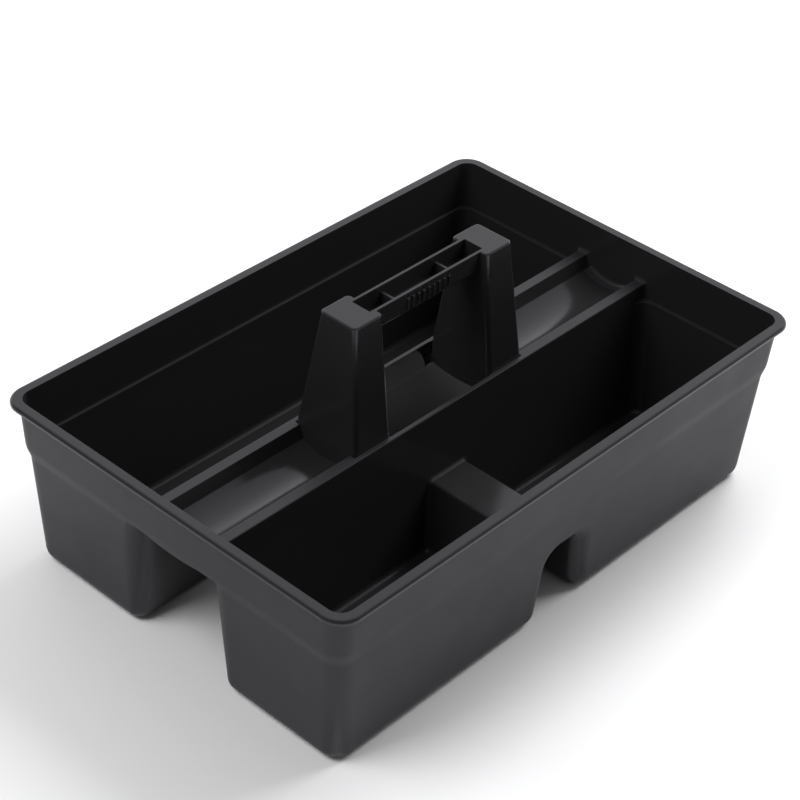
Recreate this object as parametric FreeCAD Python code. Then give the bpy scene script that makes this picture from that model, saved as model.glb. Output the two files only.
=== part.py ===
import FreeCAD
import Part
import math
import os

# Two-sided cleaning caddy: a moulded tub with a long back bin, a front bin split into two wells,
# a shallow trough between them, and a carrying handle that plugs into the trough.
# X runs along the length, Y towards the back, Z up. The origin is the middle of the footprint.

# Overall sizes, in millimetres
LENGTH = 410.0
DEPTH = 276.0
RIM_TOP = 120.0
HANDLE_TOP = 179.5
WALL = 2.8

# Rim flange
RIM_OVERHANG = 4.5
RIM_THICKNESS = 3.4
RIM_CORNER = 15.0
RIM_TOP_ROUND = 2.0
RIM_LOW_ROUND = 1.0

# Outer wall: a drafted lower part, a soft step outwards and a nearly upright upper part
FOOT_HALF_X = 191.5
FOOT_HALF_Y = 126.5
DRAFT_X = 0.064
DRAFT_Y = 0.047
STEP_LOW = 78.5
STEP_HIGH = 88.5
UPPER_HALF_X = LENGTH / 2 - RIM_OVERHANG
UPPER_HALF_Y = DEPTH / 2 - RIM_OVERHANG
UPPER_DRAFT = 0.053
WALL_CORNER = 12.0
BOTTOM_ROUND = 8.5
INNER_BOTTOM_ROUND = 3.5

# Inside, above the ledge that runs round the tub
LEDGE = 86.3
INNER_HALF_X = 198.1
INNER_HALF_Y = 131.1
INNER_DRAFT = 0.035

# Tunnel under the trough, between the back bin and the front bin
TUNNEL_HALF = 35.45
TUNNEL_DRAFT = 0.108
LEG_TOP = 74.3
TUNNEL_CEILING = 83.3
TUNNEL_CORNER = 9.0
TUNNEL_CORNER_GROWTH = 0.07
BIN_CORNER = 6.5
BIN_CORNER_GROWTH = 0.047
ARCH_ROUND = TUNNEL_CEILING - LEG_TOP + 0.2
FLARE_CLEAR = 0.3
BELLY_HALF = 22.0
BELLY_DROP = 2.6

# Notch in the front bin, which makes the saddle between the two wells
NOTCH_HALF = 17.5
NOTCH_DRAFT = 0.083
NOTCH_CEILING = 49.2
NOTCH_ROUND = 8.0
SADDLE_ROUND = 2.0
NOTCH_MOUTH = 10.5
NOTCH_BACK_MOUTH = 6.0

# Trough along the middle, with a flat ridge on each side
RIDGE_TOP = 97.0
RIDGE_INNER = 20.65
TROUGH_CREASE = 17.5
TROUGH_CREASE_Z = 88.5
TROUGH_LOW_Z = 84.0
RIDGE_END_ROUND = 3.0
RIDGE_EDGE_ROUND = 0.8

# Opening between the handle's posts, and the pockets that hold them
OPENING_HALF_X = 44.4
OPENING_HALF_Y = 24.8
POCKET_FLOOR = 88.0
SEAT_GAP = 0.05

# Handle posts and grip
POST_IN_BASE = 44.4
POST_IN_TOP = 44.9
POST_OUT_BASE = 75.2
POST_OUT_TOP = 68.5
POST_HALF_BASE = 24.5
POST_HALF_TOP = 13.9
POST_CORNER = 3.0
POST_TOP_ROUND = 1.0
POST_WALL = 2.5
HOLLOW_CORNER = 1.0
GRIP_HALF = 8.8
GRIP_END = 49.0
GRIP_DEPTH = 16.0
GRIP_WALL = 1.8
GRIP_FLOOR = 2.2
GRIP_ROUND = 4.0
GRIP_TAPER = 0.5
GRIP_RIB_X = 23.3
GRIP_RIB_DROP = 5.0
GRIP_RIB_THICK = 1.8
FINGER_RIBS = 9
FINGER_PITCH = 4.5
FINGER_WIDTH = 1.4
FINGER_PROUD = 0.6
FINGER_TOP = 4.0
FINGER_LOW = 13.5

# Self-tapping screws that hold each post down, driven up from the tunnel
SCREW_Y = 11.0
SCREW_X = (POST_IN_BASE + POST_OUT_BASE) / 2
SCREW_RADIUS = 2.0
SCREW_LENGTH = 16.0
SCREW_TIP = 3.0
SCREW_TIP_RADIUS = 0.4
HEAD_RADIUS = 4.0
HEAD_HEIGHT = 2.7
HEAD_ROUND = 1.5
RECESS_DEPTH = 1.4
RECESS_WIDTH = 1.0
SCREW_CLEARANCE = 2.3
PILOT_RADIUS = SCREW_RADIUS + 0.03
BOSS_RADIUS = 4.5
BOSS_TOP = 108.0
BOSS_WEB = 1.8
BOSS_WEB_DROP = 8.0
PILOT_SPARE = 4.0
PAD_RADIUS = 6.0
PAD_Z = 80.2

# Cutters run out past the ends by REACH, and past the faces they cut by PAST
REACH = LENGTH / 2 + 15
PAST = 1.0


def vec(x, y, z):
    return FreeCAD.Vector(x, y, z)


def arc(start, middle, end):
    return Part.Arc(start, middle, end).toShape()


def line(start, end):
    return Part.LineSegment(start, end).toShape()


def outline(x0, x1, y0, y1, z, radii):
    """Closed wire of a rectangle with a radius for each corner, counter-clockwise from (x0, y0)."""
    corners = [(x0, y0, 1, 1), (x1, y0, -1, 1), (x1, y1, -1, -1), (x0, y1, 1, -1)]
    arcs = []
    for (x, y, sx, sy), r in zip(corners, radii):
        near = r * (1 - math.sqrt(0.5))
        on_x_side = vec(x + sx * r, y, z)
        on_y_side = vec(x, y + sy * r, z)
        middle = vec(x + sx * near, y + sy * near, z)
        if sx * sy > 0:
            arcs.append((on_y_side, middle, on_x_side))
        else:
            arcs.append((on_x_side, middle, on_y_side))
    edges = []
    for i, (start, middle, end) in enumerate(arcs):
        edges.append(arc(start, middle, end))
        edges.append(line(end, arcs[(i + 1) % 4][0]))
    return Part.Wire(edges)


def centred(half_x, half_y, z, radius):
    return outline(-half_x, half_x, -half_y, half_y, z, [radius] * 4)


def loft(wires):
    return Part.makeLoft(wires, True, True)


def prism_x(edges, x0, x1):
    """Solid with a closed profile in the YZ plane at x0, carried to x1."""
    face = Part.Face(Part.Wire(edges))
    return face.extrude(vec(x1 - x0, 0, 0))


def edges_where(shape, test):
    """Edges whose middle point passes the test."""
    chosen = []
    for edge in shape.Edges:
        middle = edge.valueAt((edge.FirstParameter + edge.LastParameter) / 2)
        if test(middle):
            chosen.append(edge)
    return chosen


def at_height(z):
    return lambda p: abs(p.z - z) < 0.01


def tunnel_corner(z):
    return TUNNEL_CORNER + TUNNEL_CORNER_GROWTH * z


def lower_x(z):
    return FOOT_HALF_X + DRAFT_X * z


def lower_y(z):
    return FOOT_HALF_Y + DRAFT_Y * z


def stepped(lower, upper_half, z):
    """Half-size of the outer walls at z: an S-shaped step joins the lower and upper drafts."""
    t = min(max((z - STEP_LOW) / (STEP_HIGH - STEP_LOW), 0), 1)
    ease = t * t * (3 - 2 * t)
    upper = upper_half - (RIM_TOP - z) * UPPER_DRAFT
    return lower(z) + (upper - lower(z)) * ease


def outer_x(z):
    return stepped(lower_x, UPPER_HALF_X, z)


def outer_y(z):
    return stepped(lower_y, UPPER_HALF_Y, z)


def tunnel_y(z):
    return TUNNEL_HALF - TUNNEL_DRAFT * z


# ---------------------------------------------------------------- the tub's outer form


def bin_block(side, inset, z0, z1):
    """Drafted block of one bin: side is +1 at the back and -1 at the front."""
    wires = []
    for z in (z0, z1):
        outer = WALL_CORNER - inset
        inner = BIN_CORNER + BIN_CORNER_GROWTH * z if inset else tunnel_corner(z)
        half = lower_x(z) - inset
        near = tunnel_y(z) + inset
        far = lower_y(z) - inset
        if side > 0:
            wires.append(outline(-half, half, near, far, z, [inner, inner, outer, outer]))
        else:
            wires.append(outline(-half, half, -far, -near, z, [outer, outer, inner, inner]))
    return loft(wires)


def notch_form(inset, top_round):
    """Inverted U across the front bin: the notch below, or the saddle when inset is the wall."""
    top = NOTCH_CEILING + inset
    base = -PAST
    low = NOTCH_HALF - NOTCH_DRAFT * base + inset
    high = NOTCH_HALF - NOTCH_DRAFT * top + inset
    y = -REACH
    points = [vec(-low, y, base), vec(low, y, base), vec(high, y, top), vec(-high, y, top)]
    face = Part.Face(Part.makePolygon(points + points[:1]))
    form = face.extrude(vec(0, REACH, 0))
    long_edges = edges_where(form, lambda p: abs(p.y + REACH / 2) < 1 and p.z > top - 1)
    return form.makeFillet(top_round, long_edges)


def round_bottom(block, z, radius):
    return block.makeFillet(radius, edges_where(block, at_height(z)))


def front_form(inset, z0, z1, top_round):
    """Front bin with the notch taken out and its mouths rounded."""
    block = bin_block(-1, inset, z0, z1).cut(notch_form(inset, top_round))
    reach = NOTCH_HALF + WALL + 1
    ceiling = NOTCH_CEILING + inset + 0.5

    def across(p):
        return abs(p.x) < reach and z0 + 0.1 < p.z < ceiling

    def on_front(p):
        return across(p) and abs(p.y + lower_y(p.z) - inset) < 0.2

    def on_tunnel(p):
        return across(p) and abs(p.y + tunnel_y(p.z) + inset) < 0.2

    block = block.makeFillet(NOTCH_MOUTH - inset, edges_where(block, on_front))
    return block.makeFillet(NOTCH_BACK_MOUTH - inset, edges_where(block, on_tunnel))


def wall_section(z):
    return centred(outer_x(z), outer_y(z), z, WALL_CORNER)


def upper_walls():
    """Everything above the legs as one solid block: the step, the upper walls and the rim."""
    steps = 5
    heights = [STEP_LOW + (STEP_HIGH - STEP_LOW) * i / steps for i in range(steps + 1)]
    flange_low = RIM_TOP - RIM_THICKNESS
    rim = Part.Face(centred(LENGTH / 2, DEPTH / 2, flange_low, RIM_CORNER))
    rim = rim.extrude(vec(0, 0, RIM_THICKNESS))
    rim = rim.makeFillet(RIM_LOW_ROUND, edges_where(rim, at_height(flange_low)))
    rim = rim.makeFillet(RIM_TOP_ROUND, edges_where(rim, at_height(RIM_TOP)))
    below = loft([wall_section(LEG_TOP), wall_section(STEP_LOW)])
    soft_step = Part.makeLoft([wall_section(z) for z in heights], True, False)
    above = loft([wall_section(STEP_HIGH), wall_section(flange_low + RIM_THICKNESS / 2)])
    return below.fuse([soft_step, above, rim])


def tunnel_cutter():
    """Top of the tunnel: a slab with a bellied ceiling, less the flared tops of the legs."""
    half = BELLY_HALF * 3
    low = LEG_TOP
    top = TUNNEL_CEILING
    x = -REACH
    edges = [
        line(vec(x, -half, low), vec(x, half, low)),
        line(vec(x, half, low), vec(x, half, top)),
        line(vec(x, half, top), vec(x, BELLY_HALF, top)),
        arc(vec(x, BELLY_HALF, top), vec(x, 0, top - BELLY_DROP), vec(x, -BELLY_HALF, top)),
        line(vec(x, -BELLY_HALF, top), vec(x, -half, top)),
        line(vec(x, -half, top), vec(x, -half, low)),
    ]
    slab = prism_x(edges, x, -x)
    for side in (1, -1):
        slab = slab.cut(leg_flare(side))
    return slab


def leg_flare(side):
    """Top of a leg, where its tunnel face curves out to meet the ceiling."""
    steps = 6
    wires = []
    for i in range(steps + 1):
        angle = math.pi / 2 * i / steps
        z = LEG_TOP + ARCH_ROUND * math.sin(angle)
        spread = ARCH_ROUND * (1 - math.cos(angle))
        half = outer_x(z) + FLARE_CLEAR * math.sin(angle)
        near = tunnel_y(z) - spread
        radius = tunnel_corner(z) + spread
        far = BELLY_HALF * 4
        small = 1.0
        if side > 0:
            wires.append(outline(-half, half, near, far, z, [radius, radius, small, small]))
        else:
            wires.append(outline(-half, half, -far, -near, z, [small, small, radius, radius]))
    return Part.makeLoft(wires, True, False)


def tub_outer():
    back = round_bottom(bin_block(1, 0, 0, LEG_TOP), 0, BOTTOM_ROUND)
    front = round_bottom(front_form(0, 0, LEG_TOP, NOTCH_ROUND), 0, BOTTOM_ROUND)
    upper = upper_walls().cut(tunnel_cutter())
    return upper.fuse([back, front])


# ---------------------------------------------------------------- the tub's hollow


def inner_block(z0):
    """Space inside the upper walls, from z0 to above the rim."""
    wires = []
    for z in (z0, RIM_TOP + PAST):
        grow = (z - RIM_TOP) * INNER_DRAFT
        wires.append(centred(INNER_HALF_X + grow, INNER_HALF_Y + grow, z, WALL_CORNER - WALL))
    return loft(wires)


def centre_walls():
    """Solid between the two bins, up to the ridges."""
    base = LEDGE - 10
    low = tunnel_y(base) + WALL
    high = tunnel_y(RIDGE_TOP) + WALL
    x = -REACH
    points = [
        vec(x, -low, base),
        vec(x, low, base),
        vec(x, high, RIDGE_TOP),
        vec(x, -high, RIDGE_TOP),
    ]
    solid = Part.Face(Part.makePolygon(points + points[:1])).extrude(vec(-2 * x, 0, 0))
    edges = edges_where(solid, lambda p: abs(p.x) < 1 and p.z > RIDGE_TOP - 1)
    return solid.makeFillet(RIDGE_EDGE_ROUND, edges)


def trough_profile(lift, x):
    """Closed edges of the trough's cross-section at x, raised by lift."""
    top = RIDGE_TOP + PAST
    slope = (RIDGE_INNER - TROUGH_CREASE) / (RIDGE_TOP - TROUGH_CREASE_Z)
    crease = TROUGH_CREASE - slope * lift
    wide = TROUGH_CREASE + slope * (top - TROUGH_CREASE_Z) - slope * lift
    crease_z = TROUGH_CREASE_Z + lift
    left = vec(x, -crease, crease_z)
    right = vec(x, crease, crease_z)
    return [
        line(vec(x, -wide, top), left),
        arc(left, vec(x, 0, TROUGH_LOW_Z + lift), right),
        line(right, vec(x, wide, top)),
        line(vec(x, wide, top), vec(x, -wide, top)),
    ]


def tray():
    """Space above the ledge and in the trough, with the ridges blended into the end walls."""
    above = Part.makeBox(2 * REACH, DEPTH, RIM_TOP, vec(-REACH, -DEPTH / 2, LEDGE))
    above = above.cut(centre_walls()).fuse(prism_x(trough_profile(0, -REACH), -REACH, REACH))
    space = inner_block(TROUGH_LOW_Z - PAST).common(above)

    def on_end_wall(edge):
        ends = [vertex.Point for vertex in edge.Vertexes]
        across = abs(ends[0].x - ends[1].x) < 2 and abs(ends[0].x) > INNER_HALF_X - 2
        central = all(abs(p.y) < TUNNEL_HALF and p.z < RIDGE_TOP + 1 for p in ends)
        return across and central and max(p.z for p in ends) > LEDGE + 0.1

    return space.makeFillet(RIDGE_END_ROUND, [e for e in space.Edges if on_end_wall(e)])


def tub_hollow():
    back = round_bottom(bin_block(1, WALL, WALL, LEDGE), WALL, INNER_BOTTOM_ROUND)
    front = front_form(WALL, WALL, LEDGE, SADDLE_ROUND)
    front = round_bottom(front, WALL, INNER_BOTTOM_ROUND)
    return tray().fuse([back, front])


# ---------------------------------------------------------------- the handle's seat in the tub


def post_pocket(side):
    """Recess that the foot of one post drops into."""
    x0 = side * (OPENING_HALF_X - PAST)
    x1 = side * (POST_OUT_BASE + SEAT_GAP)
    half = POST_HALF_BASE + SEAT_GAP
    height = RIDGE_TOP + PAST - POCKET_FLOOR
    return Part.makeBox(abs(x1 - x0), 2 * half, height, vec(min(x0, x1), -half, POCKET_FLOOR))


def hand_opening():
    """Opening through the trough's floor under the grip, between the posts."""
    top = RIDGE_TOP + PAST
    base = TUNNEL_CEILING - ARCH_ROUND - PAST
    widen = TUNNEL_DRAFT * (top - base)
    x = -OPENING_HALF_X
    points = [
        vec(x, -OPENING_HALF_Y, top),
        vec(x, OPENING_HALF_Y, top),
        vec(x, OPENING_HALF_Y + widen, base),
        vec(x, -OPENING_HALF_Y - widen, base),
    ]
    return Part.Face(Part.makePolygon(points + points[:1])).extrude(vec(2 * OPENING_HALF_X, 0, 0))


def screw_places():
    return [(sx * SCREW_X, sy * SCREW_Y) for sx in (-1, 1) for sy in (-1, 1)]


def tub():
    body = tub_outer()
    pad = TROUGH_LOW_Z - PAD_Z
    hole = POCKET_FLOOR - PAD_Z + 2 * PAST
    pads = []
    cutters = [tub_hollow(), hand_opening(), post_pocket(-1), post_pocket(1)]
    for x, y in screw_places():
        pads.append(Part.makeCylinder(PAD_RADIUS, pad, vec(x, y, PAD_Z)))
        cutters.append(Part.makeCylinder(SCREW_CLEARANCE, hole, vec(x, y, PAD_Z - PAST)))
    body = body.fuse(pads)
    return body.cut(cutters).removeSplitter()


# ---------------------------------------------------------------- the handle


def post_loft(side, z0, z1, inset):
    """Tapered post between two heights, inset on all sides. side is -1 or +1 along X."""
    wires = []
    for z in (z0, z1):
        t = (z - RIDGE_TOP) / (HANDLE_TOP - RIDGE_TOP)
        near = POST_IN_BASE + (POST_IN_TOP - POST_IN_BASE) * t + inset
        far = POST_OUT_BASE + (POST_OUT_TOP - POST_OUT_BASE) * t - inset
        half = POST_HALF_BASE + (POST_HALF_TOP - POST_HALF_BASE) * t - inset
        radius = max(POST_CORNER - inset, HOLLOW_CORNER)
        low = min(side * near, side * far)
        high = max(side * near, side * far)
        wires.append(outline(low, high, -half, half, z, [radius] * 4))
    return loft(wires)


def post_foot(side):
    """Upright foot below the ridges, shaped underneath to sit on the trough's floor."""
    low = min(side * POST_IN_BASE, side * POST_OUT_BASE)
    high = max(side * POST_IN_BASE, side * POST_OUT_BASE)
    base = TROUGH_LOW_Z
    half = POST_HALF_BASE
    wires = [outline(low, high, -half, half, z, [POST_CORNER] * 4) for z in (base, RIDGE_TOP)]
    rests = Part.makeBox(
        high - low, 2 * half, RIDGE_TOP - POCKET_FLOOR, vec(low, -half, POCKET_FLOOR + SEAT_GAP)
    )
    rests = rests.fuse(prism_x(trough_profile(SEAT_GAP, low), low, high))
    return loft(wires).common(rests)


def post(side):
    shell = post_loft(side, RIDGE_TOP, HANDLE_TOP, 0)
    shell = shell.makeFillet(POST_TOP_ROUND, edges_where(shell, at_height(HANDLE_TOP)))
    shell = shell.fuse(post_foot(side))
    hollow = post_loft(side, RIDGE_TOP, HANDLE_TOP - POST_WALL, POST_WALL)
    low = min(side * POST_IN_BASE, side * POST_OUT_BASE) + POST_WALL
    high = max(side * POST_IN_BASE, side * POST_OUT_BASE) - POST_WALL
    half = POST_HALF_BASE - POST_WALL
    base = TROUGH_LOW_Z - PAST
    foot = outline(low, high, -half, half, base, [HOLLOW_CORNER] * 4)
    hollow = hollow.fuse(Part.Face(foot).extrude(vec(0, 0, RIDGE_TOP - base)))
    hollow = hollow.cut(grip_bar())
    return shell.cut(hollow).fuse(screw_bosses(side))


def screw_bosses(side):
    """Two screw bosses in a post, each with a web to the post's walls."""
    low = min(side * POST_IN_BASE, side * POST_OUT_BASE)
    width = POST_OUT_BASE - POST_IN_BASE
    height = BOSS_TOP - TROUGH_LOW_Z
    solids = []
    for y in (-SCREW_Y, SCREW_Y):
        corner = vec(low, y - BOSS_WEB / 2, TROUGH_LOW_Z)
        solids.append(Part.makeCylinder(BOSS_RADIUS, height, vec(side * SCREW_X, y, TROUGH_LOW_Z)))
        solids.append(Part.makeBox(width, BOSS_WEB, height - BOSS_WEB_DROP, corner))
    inside = post_loft(side, RIDGE_TOP, HANDLE_TOP, POST_WALL / 2).fuse(post_foot(side))
    return solids[0].fuse(solids[1:]).common(inside)


def grip_bar():
    """Bar between the posts, reaching a little way into each, before its channel is cut."""
    base = HANDLE_TOP - GRIP_DEPTH
    x = -GRIP_END - GRIP_WALL
    points = [
        vec(x, -GRIP_HALF, HANDLE_TOP),
        vec(x, GRIP_HALF, HANDLE_TOP),
        vec(x, GRIP_HALF - GRIP_TAPER, base),
        vec(x, -GRIP_HALF + GRIP_TAPER, base),
    ]
    bar = Part.Face(Part.makePolygon(points + points[:1])).extrude(vec(-2 * x, 0, 0))
    return bar.makeFillet(GRIP_ROUND, edges_where(bar, lambda p: abs(p.x) < 1 and p.z < base + 1))


def grip_channel():
    """Space inside the grip, open on top."""
    floor = HANDLE_TOP - GRIP_DEPTH + GRIP_FLOOR
    half = GRIP_HALF - GRIP_WALL
    channel = Part.makeBox(2 * GRIP_END, 2 * half, GRIP_DEPTH, vec(-GRIP_END, -half, floor))
    round_edges = edges_where(channel, lambda p: abs(p.x) < 1 and p.z < floor + 1)
    return channel.makeFillet(GRIP_ROUND - GRIP_WALL, round_edges)


def grip_ribs():
    """Two cross ribs inside the grip's channel."""
    low = HANDLE_TOP - GRIP_DEPTH + GRIP_FLOOR / 2
    height = HANDLE_TOP - GRIP_RIB_DROP - low
    half = GRIP_HALF - GRIP_WALL / 2 - GRIP_TAPER
    ribs = []
    for x in (-GRIP_RIB_X, GRIP_RIB_X):
        corner = vec(x - GRIP_RIB_THICK / 2, -half, low)
        ribs.append(Part.makeBox(GRIP_RIB_THICK, 2 * half, height, corner))
    return Part.makeCompound(ribs).common(grip_bar())


def finger_ribs():
    """Low upright ribs on the grip's front and back faces, under its top edges."""
    low = HANDLE_TOP - FINGER_LOW
    high = HANDLE_TOP - FINGER_TOP
    ribs = []
    for side in (-1, 1):
        inner = side * (GRIP_HALF - GRIP_WALL / 2)
        foot = side * (GRIP_HALF - GRIP_TAPER)
        head = side * GRIP_HALF
        proud = side * FINGER_PROUD
        for i in range(FINGER_RIBS):
            left = (i - (FINGER_RIBS - 1) / 2) * FINGER_PITCH - FINGER_WIDTH / 2
            points = [
                vec(left, inner, low),
                vec(left, foot, low),
                vec(left, foot + proud, low + FINGER_PROUD),
                vec(left, head + proud, high - FINGER_PROUD),
                vec(left, head, high),
                vec(left, inner, high),
            ]
            face = Part.Face(Part.makePolygon(points + points[:1]))
            ribs.append(face.extrude(vec(FINGER_WIDTH, 0, 0)))
    return ribs


def handle():
    body = post(-1).fuse([post(1), grip_bar()] + finger_ribs())
    body = body.cut(grip_channel()).fuse(grip_ribs())
    depth = SCREW_LENGTH + PILOT_SPARE
    pilots = [Part.makeCylinder(PILOT_RADIUS, depth, vec(x, y, PAD_Z)) for x, y in screw_places()]
    return body.cut(pilots).removeSplitter()


# ---------------------------------------------------------------- the screws


def screw(x, y):
    """Pan-head self-tapping screw, head down, with a cross recess."""
    head_low = PAD_Z - HEAD_HEIGHT
    head = Part.makeCylinder(HEAD_RADIUS, HEAD_HEIGHT, vec(0, 0, head_low))
    head = head.makeFillet(HEAD_ROUND, edges_where(head, at_height(head_low)))
    straight = SCREW_LENGTH - SCREW_TIP
    shank = Part.makeCylinder(SCREW_RADIUS, straight + PAST, vec(0, 0, PAD_Z - PAST))
    tip = Part.makeCone(SCREW_RADIUS, SCREW_TIP_RADIUS, SCREW_TIP, vec(0, 0, PAD_Z + straight))
    body = head.fuse([shank, tip])
    arm = HEAD_RADIUS * 1.1
    slots = []
    for length, width in ((arm, RECESS_WIDTH), (RECESS_WIDTH, arm)):
        corner = vec(-length / 2, -width / 2, head_low - PAST)
        slots.append(Part.makeBox(length, width, RECESS_DEPTH + PAST, corner))
    body = body.cut(slots[0].fuse(slots[1])).removeSplitter()
    body.translate(vec(x, y, 0))
    return body


def handle_screws():
    return Part.makeCompound([screw(x, y) for x, y in screw_places()])


def main():
    os.makedirs("parts", exist_ok=True)
    nodes = {"tub": tub(), "handle": handle(), "handle_screws": handle_screws()}
    for name, shape in nodes.items():
        shape.exportStep("parts/" + name + ".step")
        box = shape.BoundBox
        print(name, len(shape.Solids), shape.isValid(), round(shape.Volume), box)


main()
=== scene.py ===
import math

import bpy
from mathutils import Matrix, Vector


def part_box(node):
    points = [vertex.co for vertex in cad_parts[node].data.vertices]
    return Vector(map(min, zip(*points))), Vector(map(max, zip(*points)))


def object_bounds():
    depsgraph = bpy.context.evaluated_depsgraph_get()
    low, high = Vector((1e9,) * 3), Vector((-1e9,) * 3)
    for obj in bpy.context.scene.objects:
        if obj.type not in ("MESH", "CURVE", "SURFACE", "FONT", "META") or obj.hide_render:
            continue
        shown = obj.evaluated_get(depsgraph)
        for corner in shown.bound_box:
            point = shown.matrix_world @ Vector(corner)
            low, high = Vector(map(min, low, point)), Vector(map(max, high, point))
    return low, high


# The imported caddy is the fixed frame. Lengths are in metres. Camera angles are in degrees.
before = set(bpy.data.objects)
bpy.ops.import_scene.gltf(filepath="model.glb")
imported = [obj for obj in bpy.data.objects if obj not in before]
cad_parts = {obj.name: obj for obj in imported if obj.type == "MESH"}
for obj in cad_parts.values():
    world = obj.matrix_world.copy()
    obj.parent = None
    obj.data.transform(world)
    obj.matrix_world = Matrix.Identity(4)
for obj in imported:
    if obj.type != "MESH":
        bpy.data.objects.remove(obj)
CAD_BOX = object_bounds()
FLOOR_LEVEL = CAD_BOX[0].z
TUB_LOW, TUB_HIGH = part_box("tub")
RIM_HEIGHT = TUB_HIGH.z

# Camera. It aims at rim height, left and in front of the middle by these shares of the tub's size.
CAMERA_AZIMUTH = -49.27
CAMERA_ELEVATION = 36.72
CAMERA_ROLL = 3.51
CAMERA_LENS = 100.1
CAMERA_DISTANCE = 1.3054
AIM_LEFT = 0.0917
AIM_FRONT = 0.0873

# Studio floor
FLOOR_SIZE = 8.0
FLOOR_DROP = 0.0001
FLOOR_COLOUR = (0.94, 0.94, 0.95, 1.0)
SPECKLE_COLOUR = (0.8, 0.8, 0.8, 1.0)
SPECKLE_SHARE = (0.0, 0.02)
FLOOR_ROUGHNESS = 0.9

# Backdrop. It dims as the z of the direction looked in rises through RISE_BAND, and dims to
# NEAR_STRENGTH as the direction turns through NEARNESS_BAND towards the camera's side.
BACKDROP_LOW = 1.65
BACKDROP_HIGH = 0.95
RISE_BAND = (0.35, 0.7)
NEAR_STRENGTH = 0.2
NEARNESS_BAND = (-0.7, 0.0)

# Softboxes
RIGHT_LIGHT = {"place": (0.9, -0.15, 1.1), "size": (1.0, 0.8), "power": 16.5}
LEFT_LIGHT = {"place": (-0.9, 0.35, 1.35), "size": (0.8, 0.8), "power": 13.0}

# Black moulded plastic. Each pair goes from polished to satin.
GLOSS_COLOUR = (0.0200, 0.0195, 0.0205, 1.0)
# This lighter colour is the satin finish of the outer walls, and on level faces up high it is also
# painted top sheen, standing in for light from above.
SATIN_AND_TOP_SHEEN_COLOUR = (0.026, 0.025, 0.028, 1.0)
WORN_COLOUR = (0.040, 0.038, 0.043, 1.0)
SHINE_TINT = (0.93, 0.90, 1.0, 1.0)
PLASTIC_INDEX = 1.5
ROUGHNESS = (0.15, 0.48)
SHINE = (0.5, 0.36)
GRAIN_STRENGTH = (0.012, 0.10)
EDGE_ROUND = 0.0005
EDGE_SAMPLES = 4

# Where the plastic is satin. The outer walls lie within these insets of the tub's sides and below
# the rim flange. Level faces from just under the ridges' tops, at a drop from the rim, are partly satin
# and partly painted top sheen, lighter as if lit from above.
WALL_INSET_X = 0.015
WALL_INSET_Y = 0.013
WALL_BLUR = 0.001
FLANGE_DROP = 0.0038
FLANGE_BLUR = 0.0005
RIDGE_DROP = 0.02375
RIDGE_BLUR = 0.00025
OUTWARD_BAND = (0.01, 0.03)
LEVEL_BAND = (0.85, 0.97)
LEVEL_SATIN_AND_SHEEN = (0.0, 0.75)

# Textures, each as a noise with its scale in cells per metre
PATCHES = {"scale": 9.0, "detail": 3.0}
CLOUDS = {"scale": 45.0, "detail": 4.0}
SCUFFS = {"scale": 60.0, "roughness": 0.7}
GRAIN = {"scale": 2200.0, "roughness": 0.6}
SINKS = {"scale": 28.0, "detail": 1.0}
MOTTLE = {"scale": 900.0, "detail": 3.0}
TURNED = {"scale": 4000.0}
SPECKLE = {"scale": 120.0}

# The stretch of each noise that shows, and of how squarely a face meets its rounded edge
EVEN_BAND = (0.3, 0.7)
CLOUD_BAND = (0.35, 0.7)
SCUFF_BAND = (0.68, 0.78)
WEAR_BAND = (0.45, 0.75)
ZINC_BAND = (0.35, 0.65)
EDGE_BAND = (0.995, 0.9)

# Relief, and how scuffs are drawn out and turned
GRAIN_DEPTH = 0.00008
SINK_DEPTH = 0.0006
SINK_STRENGTH = 0.10
TURNED_DEPTH = 0.0001
TURNED_STRENGTH = 0.15
SCUFF_STRETCH = (3.0, 40.0, 40.0)
SCUFF_TURN = (0.1, 0.2, 0.35)

# How far each texture changes the plastic's roughness
PATCH_CHANGE = (-0.03, 0.04)
CLOUD_CHANGE = (-0.015, 0.03)
SCUFF_CHANGE = (0.0, 0.12)
EDGE_CHANGE = (0.0, 0.08)

# How much of the worn colour shows on worn edges and on scuffs
WEAR_SHARE = (0.1, 0.7)
SCUFF_SHARE = (0.0, 0.12)

# Zinc-plated steel
ZINC_COOL = (0.50, 0.50, 0.52, 1.0)
ZINC_WARM = (0.62, 0.61, 0.58, 1.0)
ZINC_ROUGHNESS = (0.28, 0.42)

WHOLE = (0.0, 1.0)


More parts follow.
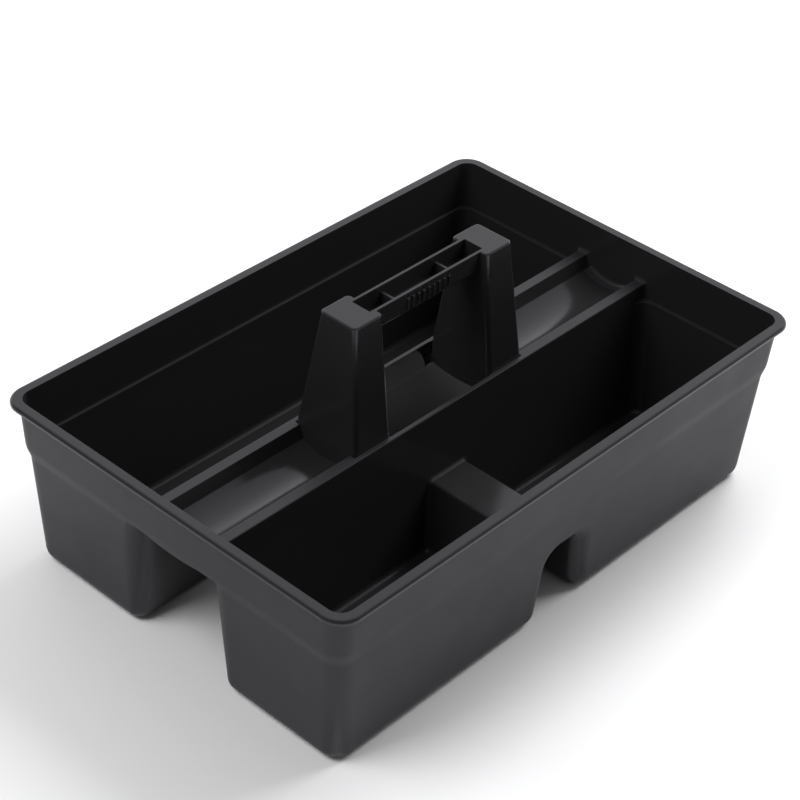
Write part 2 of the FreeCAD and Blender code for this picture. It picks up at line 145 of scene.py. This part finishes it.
class Graph:
    """The node tree of a material or world, with short ways to add nodes and join them."""

    def __init__(self, owner):
        owner.use_nodes = True
        self.owner = owner
        self.tree = owner.node_tree
        self.tree.nodes.clear()

    def feed(self, socket, value):
        """Gives an input a value, or joins it to another node's output."""
        if isinstance(value, bpy.types.NodeSocket):
            self.tree.links.new(value, socket)
        else:
            socket.default_value = value

    def add(self, kind, settings=None, inputs=None):
        made = self.tree.nodes.new(kind)
        for key, value in (settings or {}).items():
            setattr(made, key, value)
        for key, value in (inputs or {}).items():
            self.feed(made.inputs[key], value)
        return made

    def noise(self, place, scale, detail=2.0, roughness=0.5):
        inputs = {"Vector": place, "Scale": scale, "Detail": detail, "Roughness": roughness}
        return self.add("ShaderNodeTexNoise", inputs=inputs).outputs["Fac"]

    def spread(self, value, band, onto=WHOLE):
        """The band of value carried onto another band, and held at its ends."""
        inputs = {"Value": value, "From Min": band[0], "From Max": band[1]}
        inputs.update({"To Min": onto[0], "To Max": onto[1]})
        return self.add("ShaderNodeMapRange", {"clamp": True}, inputs).outputs["Result"]

    def past(self, value, limit, blur):
        """0 below the limit and 1 above it, changing over blur on each side."""
        return self.spread(value, (limit - blur, limit + blur))

    def math(self, operation, a, b=0.0):
        return self.add("ShaderNodeMath", {"operation": operation}, {0: a, 1: b}).outputs[0]

    def dot(self, a, b):
        made = self.add("ShaderNodeVectorMath", {"operation": "DOT_PRODUCT"}, {0: a, 1: b})
        return made.outputs["Value"]

    def split(self, vector):
        """The x, y and z of a vector."""
        return list(self.add("ShaderNodeSeparateXYZ", inputs={"Vector": vector}).outputs)

    def blend(self, share, a, b):
        made = self.add("ShaderNodeMix", {"data_type": "RGBA"}, {"Factor": share})
        for key, value in (("A", a), ("B", b)):
            socket = [s for s in made.inputs if s.name == key and s.type == "RGBA"][0]
            self.feed(socket, value)
        return [s for s in made.outputs if s.type == "RGBA"][0]

    def bump(self, height, strength, depth, over=None):
        """Surface direction with this relief, on top of another bump's where one is given."""
        inputs = {"Height": height, "Strength": strength, "Distance": depth}
        if over is not None:
            inputs["Normal"] = over
        return self.add("ShaderNodeBump", inputs=inputs).outputs["Normal"]

    def surface(self, inputs):
        """Ends a material with a Principled shader that has these inputs, and returns the material."""
        shader = self.add("ShaderNodeBsdfPrincipled", inputs=inputs)
        self.add("ShaderNodeOutputMaterial", inputs={"Surface": shader.outputs["BSDF"]})
        return self.owner


def satin_and_top_sheen_share(graph, place, normal):
    """1 on the tub's satin outer walls, 0 on polished faces, and in between on level faces up high,
    which are partly satin and partly painted top sheen.
    """
    x, y, z = graph.split(place)
    near_x = graph.past(graph.math("ABSOLUTE", x), TUB_HIGH.x - WALL_INSET_X, WALL_BLUR)
    near_y = graph.past(graph.math("ABSOLUTE", y), TUB_HIGH.y - WALL_INSET_Y, WALL_BLUR)
    near = graph.math("MAXIMUM", near_x, near_y)
    on_flange = graph.past(z, RIM_HEIGHT - FLANGE_DROP, FLANGE_BLUR)
    below_rim = graph.math("SUBTRACT", 1.0, on_flange)
    faces_out = graph.spread(graph.dot(place, normal), OUTWARD_BAND)
    outside = graph.math("MULTIPLY", graph.math("MULTIPLY", near, faces_out), below_rim)
    facing_up = graph.split(normal)[2]
    high = graph.past(z, RIM_HEIGHT - RIDGE_DROP, RIDGE_BLUR)
    # Painted top sheen: level faces up high take the lighter satin colour as if lit from above, as well
    # as a satin finish.
    top_satin_and_sheen = graph.math("MULTIPLY", graph.spread(facing_up, LEVEL_BAND, LEVEL_SATIN_AND_SHEEN), high)
    return graph.math("MAXIMUM", outside, top_satin_and_sheen)


def scuff_share(graph, place):
    """1 on short fine scuffs that run mostly one way, and 0 between them."""
    inputs = {"Vector": place, "Scale": SCUFF_STRETCH, "Rotation": SCUFF_TURN}
    stretched = graph.add("ShaderNodeMapping", {"vector_type": "POINT"}, inputs).outputs["Vector"]
    return graph.spread(graph.noise(stretched, **SCUFFS), SCUFF_BAND)


def moulded_plastic(name):
    """Black polypropylene: glossy where the mould was polished, satin with a fine grain outside, with
    painted top sheen on level faces up high.
    """
    graph = Graph(bpy.data.materials.new(name))
    geometry = graph.add("ShaderNodeNewGeometry")
    place = geometry.outputs["Position"]
    normal = geometry.outputs["Normal"]
    bevel = graph.add("ShaderNodeBevel", {"samples": EDGE_SAMPLES}, {"Radius": EDGE_ROUND})
    rounded = bevel.outputs["Normal"]
    edge = graph.spread(graph.dot(rounded, normal), EDGE_BAND)
    satin_and_sheen = satin_and_top_sheen_share(graph, place, normal)
    scuffs = scuff_share(graph, place)
    patches = graph.noise(place, **PATCHES)
    clouds = graph.noise(place, **CLOUDS)

    roughness = graph.spread(satin_and_sheen, WHOLE, ROUGHNESS)
    changes = (
        graph.spread(patches, EVEN_BAND, PATCH_CHANGE),
        graph.spread(clouds, CLOUD_BAND, CLOUD_CHANGE),
        graph.spread(scuffs, WHOLE, SCUFF_CHANGE),
        graph.spread(edge, WHOLE, EDGE_CHANGE),
    )
    for change in changes:
        roughness = graph.math("ADD", roughness, change)

    # The lighter colour is real satin on the outer walls and painted top sheen on level faces up high.
    clean = graph.blend(satin_and_sheen, GLOSS_COLOUR, SATIN_AND_TOP_SHEEN_COLOUR)
    wear = graph.math("MULTIPLY", edge, graph.spread(clouds, WEAR_BAND, WEAR_SHARE))
    marks = graph.math("MAXIMUM", wear, graph.spread(scuffs, WHOLE, SCUFF_SHARE))

    grain = graph.noise(place, **GRAIN)
    fine = graph.bump(grain, graph.spread(satin_and_sheen, WHOLE, GRAIN_STRENGTH), GRAIN_DEPTH, rounded)
    sinks = graph.noise(place, **SINKS)
    inputs = {
        "Base Color": graph.blend(marks, clean, WORN_COLOUR),
        "Roughness": roughness,
        "IOR": PLASTIC_INDEX,
        "Specular IOR Level": graph.spread(satin_and_sheen, WHOLE, SHINE),
        "Specular Tint": SHINE_TINT,
        "Normal": graph.bump(sinks, SINK_STRENGTH, SINK_DEPTH, fine),
    }
    return graph.surface(inputs)


def zinc_steel():
    """Zinc-plated steel with a fine turned grain."""
    graph = Graph(bpy.data.materials.new("zinc_steel"))
    place = graph.add("ShaderNodeNewGeometry").outputs["Position"]
    mottle = graph.noise(place, **MOTTLE)
    turned = graph.noise(place, **TURNED)
    inputs = {
        "Base Color": graph.blend(graph.spread(mottle, ZINC_BAND), ZINC_COOL, ZINC_WARM),
        "Metallic": 1.0,
        "Roughness": graph.spread(mottle, EVEN_BAND, ZINC_ROUGHNESS),
        "Normal": graph.bump(turned, TURNED_STRENGTH, TURNED_DEPTH),
    }
    return graph.surface(inputs)


def studio_floor_finish():
    """Matt white with a very faint speckle."""
    graph = Graph(bpy.data.materials.new("studio_floor"))
    place = graph.add("ShaderNodeNewGeometry").outputs["Position"]
    speckle = graph.spread(graph.noise(place, **SPECKLE), EVEN_BAND, SPECKLE_SHARE)
    inputs = {
        "Base Color": graph.blend(speckle, FLOOR_COLOUR, SPECKLE_COLOUR),
        "Roughness": FLOOR_ROUGHNESS,
        "Specular IOR Level": 0.0,
    }
    return graph.surface(inputs)


def dress(node_name, material):
    """Gives a carried-over CAD node its finish."""
    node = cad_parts[node_name]
    for slot in node.material_slots:
        slot.material = material
    if not node.material_slots:
        node.data.materials.append(material)


def floor():
    mesh = bpy.data.meshes.new("studio_floor")
    half = FLOOR_SIZE / 2
    corners = [(-half, -half, 0), (half, -half, 0), (half, half, 0), (-half, half, 0)]
    mesh.from_pydata(corners, [], [(0, 1, 2, 3)])
    plane = bpy.data.objects.new("studio_floor", mesh)
    plane.location.z = FLOOR_LEVEL - FLOOR_DROP
    plane.data.materials.append(studio_floor_finish())
    bpy.context.scene.collection.objects.link(plane)


def towards_camera():
    """Level unit vector from the caddy to the camera's side."""
    azimuth = math.radians(CAMERA_AZIMUTH)
    return Vector((math.sin(azimuth), -math.cos(azimuth), 0.0))


def surroundings():
    """White backdrop behind the caddy, brightest near the floor, and a dim room on the camera's side."""
    world = bpy.data.worlds.new("studio")
    bpy.context.scene.world = world
    graph = Graph(world)
    direction = graph.add("ShaderNodeTexCoord").outputs["Generated"]
    rise = graph.split(direction)[2]
    nearness = graph.dot(direction, towards_camera())
    extra = (BACKDROP_LOW - NEAR_STRENGTH, BACKDROP_HIGH - NEAR_STRENGTH)
    backdrop = graph.spread(rise, RISE_BAND, extra)
    behind = graph.math("SUBTRACT", 1.0, graph.spread(nearness, NEARNESS_BAND))
    strength = graph.math("ADD", graph.math("MULTIPLY", backdrop, behind), NEAR_STRENGTH)
    background = graph.add("ShaderNodeBackground", inputs={"Strength": strength})
    graph.add("ShaderNodeOutputWorld", inputs={"Surface": background.outputs["Background"]})


def soft_light(name, place, size, power):
    """Softbox aimed at the caddy. It lights surfaces but isn't mirrored in the glossy plastic."""
    data = bpy.data.lights.new(name, "AREA")
    data.shape = "RECTANGLE"
    data.size, data.size_y = size
    data.energy = power
    light = bpy.data.objects.new(name, data)
    light.location = place
    light.rotation_euler = (-Vector(place)).to_track_quat("-Z", "Y").to_euler()
    light.visible_glossy = False
    bpy.context.scene.collection.objects.link(light)


def camera():
    data = bpy.data.cameras.new("camera")
    data.lens = CAMERA_LENS
    made = bpy.data.objects.new("camera", data)
    bpy.context.scene.collection.objects.link(made)
    aim = Vector((AIM_LEFT * 2 * TUB_LOW.x, AIM_FRONT * 2 * TUB_LOW.y, RIM_HEIGHT))
    elevation = math.radians(CAMERA_ELEVATION)
    back = towards_camera() * math.cos(elevation) + Vector((0.0, 0.0, math.sin(elevation)))
    level = back.to_track_quat("Z", "Y").to_matrix()
    roll = Matrix.Rotation(math.radians(CAMERA_ROLL), 3, "Z")
    made.matrix_world = Matrix.Translation(aim + back * CAMERA_DISTANCE) @ (level @ roll).to_4x4()
    bpy.context.scene.camera = made


def main():
    dress("tub", moulded_plastic("tub_plastic"))
    dress("handle", moulded_plastic("handle_plastic"))
    dress("handle_screws", zinc_steel())
    floor()
    surroundings()
    soft_light("right_light", **RIGHT_LIGHT)
    soft_light("left_light", **LEFT_LIGHT)
    camera()
    bpy.context.scene.view_settings.view_transform = "Standard"


main()
